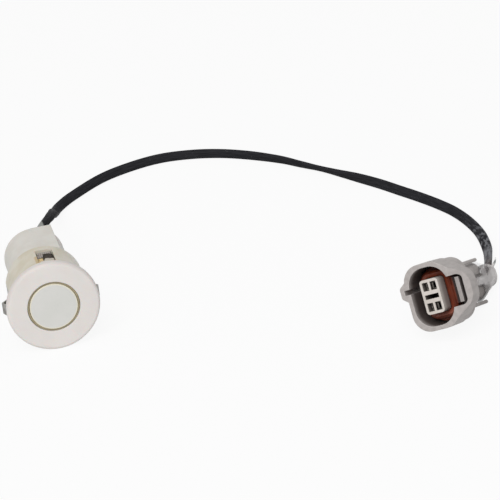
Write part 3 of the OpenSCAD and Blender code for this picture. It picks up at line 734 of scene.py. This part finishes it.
def make_world(level):
    """Even white surround, white where it is seen."""
    world = bpy.data.worlds.new("studio")
    world.use_nodes = True
    tree = world.node_tree
    lit = tree.nodes["Background"]
    lit.inputs["Color"].default_value = (1.0, 1.0, 1.0, 1.0)
    lit.inputs["Strength"].default_value = level
    seen = tree.nodes.new("ShaderNodeBackground")
    seen.inputs["Color"].default_value = (1.0, 1.0, 1.0, 1.0)
    both = tree.nodes.new("ShaderNodeMixShader")
    tree.links.new(seen_directly(tree), both.inputs[0])
    tree.links.new(lit.outputs[0], both.inputs[1])
    tree.links.new(seen.outputs[0], both.inputs[2])
    tree.links.new(both.outputs[0], tree.nodes["World Output"].inputs[0])
    bpy.context.scene.world = world


def make_floor(half, glow):
    """White floor that reaches this many metres to each side.

    It keeps a soft shadow: its own white is mixed with plain white where it is seen.
    """
    corners = np.array([[-half, -half], [half, -half], [half, half], [-half, half]])
    mesh = bpy.data.meshes.new("floor")
    mesh.from_pydata([(x, y, FLOOR_Z * MM) for x, y in corners.tolist()], [], [[0, 1, 2, 3]])
    material = bpy.data.materials.new("floor_white")
    material.use_nodes = True
    tree = material.node_tree
    paint = tree.nodes["Principled BSDF"]
    paint.inputs["Base Color"].default_value = (0.75, 0.75, 0.75, 1.0)
    paint.inputs["Roughness"].default_value = 0.9
    paint.inputs["Specular IOR Level"].default_value = 0.0
    white = tree.nodes.new("ShaderNodeEmission")
    share = tree.nodes.new("ShaderNodeMath")
    share.operation = "MULTIPLY"
    share.inputs[1].default_value = glow
    tree.links.new(seen_directly(tree), share.inputs[0])
    both = tree.nodes.new("ShaderNodeMixShader")
    tree.links.new(share.outputs[0], both.inputs[0])
    tree.links.new(paint.outputs[0], both.inputs[1])
    tree.links.new(white.outputs[0], both.inputs[2])
    tree.links.new(both.outputs[0], tree.nodes["Material Output"].inputs[0])
    mesh.materials.append(material)
    floor = bpy.data.objects.new("floor", mesh)
    bpy.context.scene.collection.objects.link(floor)


# Cable.

# Way of the cable behind the housing: X, Y, share of the drop to the floor, roll. The rolls follow the width
# that the cable shows.
CABLE_DROP = np.array([
    [4.5, 42.5, 0.005, 186], [5.8, 46, 0.025, 188], [7.2, 50, 0.065, 177], [8.4, 55, 0.13, 174],
    [9.4, 60, 0.22, 168], [10.1, 66, 0.35, 148], [10.7, 72, 0.49, 126], [11.3, 78, 0.64, 124],
    [12, 84, 0.77, 129], [13.1, 90, 0.885, 132], [15.2, 97, 0.97, 127], [20.5, 105, 1, 124],
])
# Way of the cable on the floor: X, Y, height above the floor, roll.
CABLE_ARC = np.array([
    [31.5, 115.5, 1.6, 118], [42, 121, 1.6, 113], [52.5, 123.5, 1.6, 106], [62.5, 122, 1.6, 98],
    [71.5, 118, 1.6, 90], [80, 111.5, 1.6, 84], [88, 103.5, 1.5, 66], [93, 97, 1.3, 51],
    [98, 90.5, 1.1, 30], [102.5, 83, 1.3, 55], [107, 75.5, 1.5, 92], [111.5, 67.5, 1.6, 115],
    [115.5, 59.5, 1.6, 122], [119.5, 51.5, 1.6, 122], [123, 43.5, 1.6, 125],
    [125.7, 35.5, 1.6, 131], [127.3, 26, 1.6, 144], [127.6, 16, 1.6, 155], [126.2, 5.5, 1.7, 146],
    [124.2, -2, 2, 124], [121.9, -9, 2.45, 119], [120.7, -12.6, 2.65, 102],
])
CABLE_LEAD = 1.8
CABLE_SIDES = 28


def cable_route():
    """Places and rolls from the grommet, down behind the housing, round on the floor and up to the plug."""
    start = [[EXIT_X, GROMMET_END, EXIT_Z, 180], [EXIT_X, GROMMET_END + CABLE_LEAD, EXIT_Z, 180]]
    drop, arc = CABLE_DROP.copy(), CABLE_ARC.copy()
    drop[:, 2] = EXIT_Z + drop[:, 2] * (FLOOR_Z + EDGE_Z - EXIT_Z)
    arc[:, 2] += FLOOR_Z
    ends = on_plug([[0, CABLE_START + CABLE_LEAD, 0], [0, CABLE_START, 0]])
    end = np.column_stack([ends, np.full(2, 90 + PLUG_ROLL)])
    return np.concatenate([start, drop, arc, end])


def make_cable():
    """Flat twin cable: an oval with a faint hollow between its cores, carried along the route with its twist.

    The oval is a circle stretched to the cable's width and thickness, squared off a little at its ends.
    """
    line = smooth_line(cable_route(), 8)
    a = np.arange(CABLE_SIDES) * 2 * np.pi / CABLE_SIDES
    bulge = np.sign(np.cos(a)) * np.abs(np.cos(a)) ** 0.85
    hollow = 1 - 0.1 * np.exp(-(np.cos(a) / 0.28) ** 2)
    outline = np.stack([CABLE_W / 2 * bulge, CABLE_T / 2 * np.sin(a) * hollow], -1)
    centre, rolls = line[:, :3], line[:, 3]
    made = piece("cable_run", [(sweep(centre, outline, rolls), False)], "cable",
                 FINISH["jacket"], run=run_of(centre, outline))
    path = centre * MM
    length = float(np.linalg.norm(np.diff(path, axis=0), axis=1).sum())
    on_cord = [n for n in frame["record"]["physics"]["cord_nodes"] if n != "cable"]
    return made, path, length, on_cord


# Soft pieces of the sensor.

def make_face_ring():
    """Rubber ring turned round the axis: a round bead in the gap by the face and a thick flange behind it."""
    profile = [[FACE_R + FIT, RING_LEN], [FACE_R + FIT, RING_FRONT], [RING_NECK_R, RING_FRONT],
               [RING_NECK_R, 0.05], [BORE_R, 0.05], [BORE_R, RING_LEN]]
    piece("face_ring", [(lathe(soften(profile, 0.28)), True)], "isolation_ring",
          FINISH["groove"])


def plateau(values, low, high, soft):
    """Smooth share that is 1 between two values and falls to 0 over a soft edge on each side."""
    return ease((values - low) / soft + 1) * ease((high - values) / soft + 1)


def make_foam():
    """Foam ring turned round the axis. Its skin sinks in small waves of angle and station.

    In both windows it swells out, and creeps back the more the further back it lies.
    """
    y = np.linspace(FOAM_FROM, FOAM_TO, FOAM_ROWS)
    round_off = 0.35 * (np.abs(2 * (y - FOAM_FROM) / (FOAM_TO - FOAM_FROM) - 1) ** 8)
    outside, inside = np.stack([BORE_R - round_off, y], -1), [[FOAM_R, FOAM_TO], [FOAM_R, FOAM_FROM]]
    rings = lathe(np.concatenate([outside, inside]), FOAM_SIDES)
    x, y, z = rings[..., 0], rings[..., 1], rings[..., 2]
    a, skin = np.arctan2(z, x), np.arange(len(rings))[:, None] < FOAM_ROWS
    swell = skin * (np.abs(z) > 5) * plateau(x, 0.5, 2.7, 0.4) * plateau(y, 7.7, 12, 0.5)
    pits = FOAM_PIT * skin * (1 + 0.5 * np.sin(31 * a + 5 * y) + 0.5 * np.sin(47 * a - 7 * y))
    grow = 1 + (FOAM_SWELL * swell - pits) / BORE_R
    back = y + FOAM_CREEP * swell * (y - FOAM_FROM) / (FOAM_TO - FOAM_FROM)
    skinned = np.stack([x * grow, back, z * grow], -1)
    piece("foam_band", [(skinned, True)], "foam_ring", FINISH["foam"])


def make_cup_filling():
    """Damping pad and sealant turned round the axis; the sealant's end creeps up the wall in a low curve."""
    r = CUP_BORE_R - FIT
    pad = soften([[0.1, PAD_Y], [r, PAD_Y], [r, SEALANT_Y - 0.02], [0.1, SEALANT_Y - 0.02]], 0.3, 5, False)
    piece("damping_disc", [(lathe(pad), False)], "damping_pad", FINISH["damping"])
    across = np.linspace(r, 0.1, 12)
    creep = np.stack([across, SEALANT_END - 0.35 * (1 - (across / r) ** 4)], -1)
    fill = np.concatenate([[[0.1, SEALANT_Y], [r - 0.1, SEALANT_Y], [r, SEALANT_Y + 0.1]], creep])
    piece("sealant_fill", [(lathe(fill), False)], "cup_sealant", FINISH["sealant"])


def straight(x, start, end):
    """Points of a straight wire along Y."""
    y = np.linspace(start, end, 12)
    return np.stack([np.full_like(y, x), y, np.zeros_like(y)], -1)


def make_inner_wires():
    """Round wires carried along their lines: two leads to the board, and two cores from it to the cable."""
    piece("signal_lead_wire", [(sweep(straight(SIGNAL_X, PAD_Y, LEAD_END), disc(LEAD_D / 2)), False)],
          "signal_lead", FINISH["red_wire"])
    piece("ground_lead_wire", [(sweep(straight(GROUND_X, PIEZO_Y, LEAD_END), disc(LEAD_D / 2)), False)],
          "ground_lead", FINISH["black_wire"])
    for side, name, slot, finish in ((-1, "signal_tail", "white_insulation", "white_wire"),
                                     (1, "ground_tail", "black_insulation", "black_wire")):
        x = EXIT_X + side * CORE_GAP / 2
        way = [[x - 1, BOARD_Y, 3.4], [x - 1, BOARD_Y + 2, 3.4], [x - 1, BOARD_Y + 5, 4.3],
               [x - 0.5, BOARD_Y + 8, EXIT_Z - 0.6], [x, BOARD_Y + 11.5, EXIT_Z], [x, GROMMET_END, EXIT_Z]]
        core = sweep(smooth_line(way, 8), disc(CORE_D / 2))
        piece(name + "_core", [(core, False)], name, FINISH[finish])


def make_grommet():
    """Rubber boot: ovals along the cable that step down with round shoulders."""
    y = np.array([33, 33.25, 35.9, 36.02, 36.15, 36.85, 37.0, 37.15, 37.8, 38])
    grow = np.array([0.5, 0.7, 0.7, 0.74, 0.84, 0.84, 0.78, 0.42, 0.4, 0.3])
    outlines = np.stack([oval(CABLE_W + g, CABLE_T + g) for g in grow]) + np.array([EXIT_X, EXIT_Z])
    piece("grommet_boot", [(stations(outlines, y), False)], "cable_grommet",
          FINISH["grommet"], 60)


# Soft pieces of the plug.

def seal_collar():
    """Seal round the tower: round-cornered outlines in a closed run, out over two round lips and a base."""
    def about_tower(grow):
        """Outlines of the tower, each grown by its own amount."""
        return [round_rect(TOWER_W + 2 * g, TOWER_H + 2 * g, TOWER_R + g) for g in grow]

    y = np.linspace(TOWER_Y, 7.4, 34)
    lips = sum(np.cos(np.clip((y - c) / 0.62, -1, 1) * np.pi / 2) ** 2 for c in (5.3, 6.8))
    edge = 0.35 * (1 - ease((y - TOWER_Y) / 0.4))
    outer = about_tower(1.5 - edge + 0.35 * lips)
    base_y = np.array([7.42, 7.55, 7.8, 8.7, 8.95, 9.0])
    base_in = np.array([0.9, 0.55, 0.4, 0.4, 0.5, 0.8])
    base = [round_rect(MOUTH_W - 2 * i, MOUTH_H - 2 * i, MOUTH_R - i) for i in base_in]
    inner_y = np.array([9.0, 8.8, 4.7, 4.45])
    inner = about_tower((0.3, FIT, FIT, 0.3))
    return stations(np.stack(outer + base + inner), np.concatenate([y, base_y, inner_y]))


def seal_ear():
    """Ear of the seal in the latch pocket: a flat pad whose edges are rounded over its thickness."""
    y = np.array([5.1, 5.13, 5.25, 5.45, 6.0, 6.2, 6.3])
    inset = np.array([0.4, 0.22, 0.06, 0.0, 0.0, 0.06, 0.25])
    width = EAR_END - EAR_FROM
    outlines = np.stack([round_rect(width - 2 * i, EAR_H - 2 * i, EAR_R - 0.5 * i) for i in inset])
    return stations(outlines + np.array([(EAR_FROM + EAR_END) / 2, 0]), y)


def make_plug_seals():
    """Mouth seal, and the ribbed seals turned round each wire: a radius that swells three times."""
    piece("mouth_seal_boot", [(on_plug(seal_collar()), True), (on_plug(seal_ear()), False)],
          "mouth_seal", FINISH["silicone"], 50)
    y = np.linspace(SOCKET_END - 5, SOCKET_END, 41)
    ribs = 1.58 + 0.16 * np.cos((y - SOCKET_END + 4.5) * np.pi)
    profile = np.concatenate([np.stack([ribs, y], -1), [[0.65, SOCKET_END], [0.65, SOCKET_END - 5]]])
    for name, side in (("upper_wire_seal", 1), ("lower_wire_seal", -1)):
        rings = lathe(profile, 48) + np.array([0, 0, side * PIN_Z])
        piece(name + "_plug", [(on_plug(rings), True)], name, FINISH["silicone"])


def make_plug_wires():
    """Wires behind the terminals: straight through the sockets, then a soft S in to the cable's cores."""
    start, end = SOCKET_END + 0.4, CABLE_START - 1.4
    y = np.concatenate([np.linspace(CRIMP_END, start, 12)[:-1], np.linspace(start, end, 16), [CABLE_START]])
    z = PIN_Z + (CORE_GAP / 2 - PIN_Z) * ease((y - start) / (end - start))
    for name, side, slot, finish in (("upper_wire", 1, "white_insulation", "white_wire"),
                                     ("lower_wire", -1, "black_insulation", "black_wire")):
        line = on_plug(np.stack([0 * y, y, side * z], -1))
        piece(name + "_run", [(sweep(line, disc(WIRE_D / 2, 20)), False)], name, FINISH[finish])


def sleeve_wall(grow, y):
    """Ovals that shrink and rise from the sockets to the cable, pressed in by waves of angle and station.

    A rolled lip swells the last half millimetre.
    """
    t = np.clip((y - SOCKET_END) / (CABLE_START - SOCKET_END), 0, 1)
    lip = 0.18 * np.exp(-((y - SLEEVE_END + 0.35) / 0.3) ** 2)
    tall = SLEEVE_H + (SLEEVE_END_H - SLEEVE_H) * t + 2 * (grow + lip)
    wide = SLEEVE_W + (SLEEVE_END_W - SLEEVE_W) * t + 2 * (grow + lip)
    outlines = np.stack([oval(h, w, 25)[:, ::-1] for h, w in zip(tall, wide)])
    a, s = np.arctan2(outlines[..., 1], outlines[..., 0]), y[:, None]
    waves = np.sin(5 * a + 1.7 * s) + 0.6 * np.sin(9 * a - 2.3 * s + 1) + 0.5 * np.sin(3.1 * s + 2 * a)
    deep = 0.03 * plateau(s, SLEEVE_FROM + 6, SLEEVE_END - 2, 4)
    outlines = outlines * (1 + deep * (0.5 * waves - 1))[..., None]
    outlines[..., 1] += (SLEEVE_LIFT * t)[:, None]
    return stations(outlines, y)


def sleeve_tail():
    """Thin tail of the sleeve's film: a flat oval along a short curve up from the lip, drawn in to a tip."""
    way = [[2.0, 36.8, 2.2], [2.5, 37.9, 3.0], [2.8, 38.7, 3.8], [2.95, 39.4, 4.7]]
    line = on_plug(smooth_line(way, 6))
    narrow = np.linspace(1, 0.35, len(line))[:, None, None]
    return line[:, None] + narrow * (sweep(line, oval(0.95, 0.5, 7), 150) - line[:, None])


def make_sleeve():
    """Milky sleeve: an outer and an inner wall joined at both ends, and its thin tail."""
    y = np.linspace(SLEEVE_FROM, SLEEVE_END, 61)
    rings = np.concatenate([sleeve_wall(0.5, y), sleeve_wall(0.08, y[::-1])])
    piece("sleeve_bag", [(on_plug(rings), True), (sleeve_tail(), False)], "wire_sleeve",
          FINISH["sleeve"], 50)


def dress_cad_nodes():
    """Gives each CAD node that is shown its finish."""
    for node, finish in CAD_FINISH.items():
        shape = frame["nodes"][node]
        if not shape.material_slots:
            shape.data.materials.append(FINISH[finish])
        for slot in shape.material_slots:
            slot.material = FINISH[finish]


bpy.context.scene.view_settings.view_transform = "Standard"
make_camera()
cable, cable_path, cable_length, on_cable = make_cable()
make_world(level=0.42)
area_lamp("key_lamp", at=(-0.4, -0.95, 1.15), aim=(0.06, 0.0, 0.0), size=0.9, watts=17)
make_floor(half=3.0, glow=0.91)
make_face_ring()
make_foam()
make_cup_filling()
make_inner_wires()
make_grommet()
make_plug_seals()
make_plug_wires()
make_sleeve()
dress_cad_nodes()
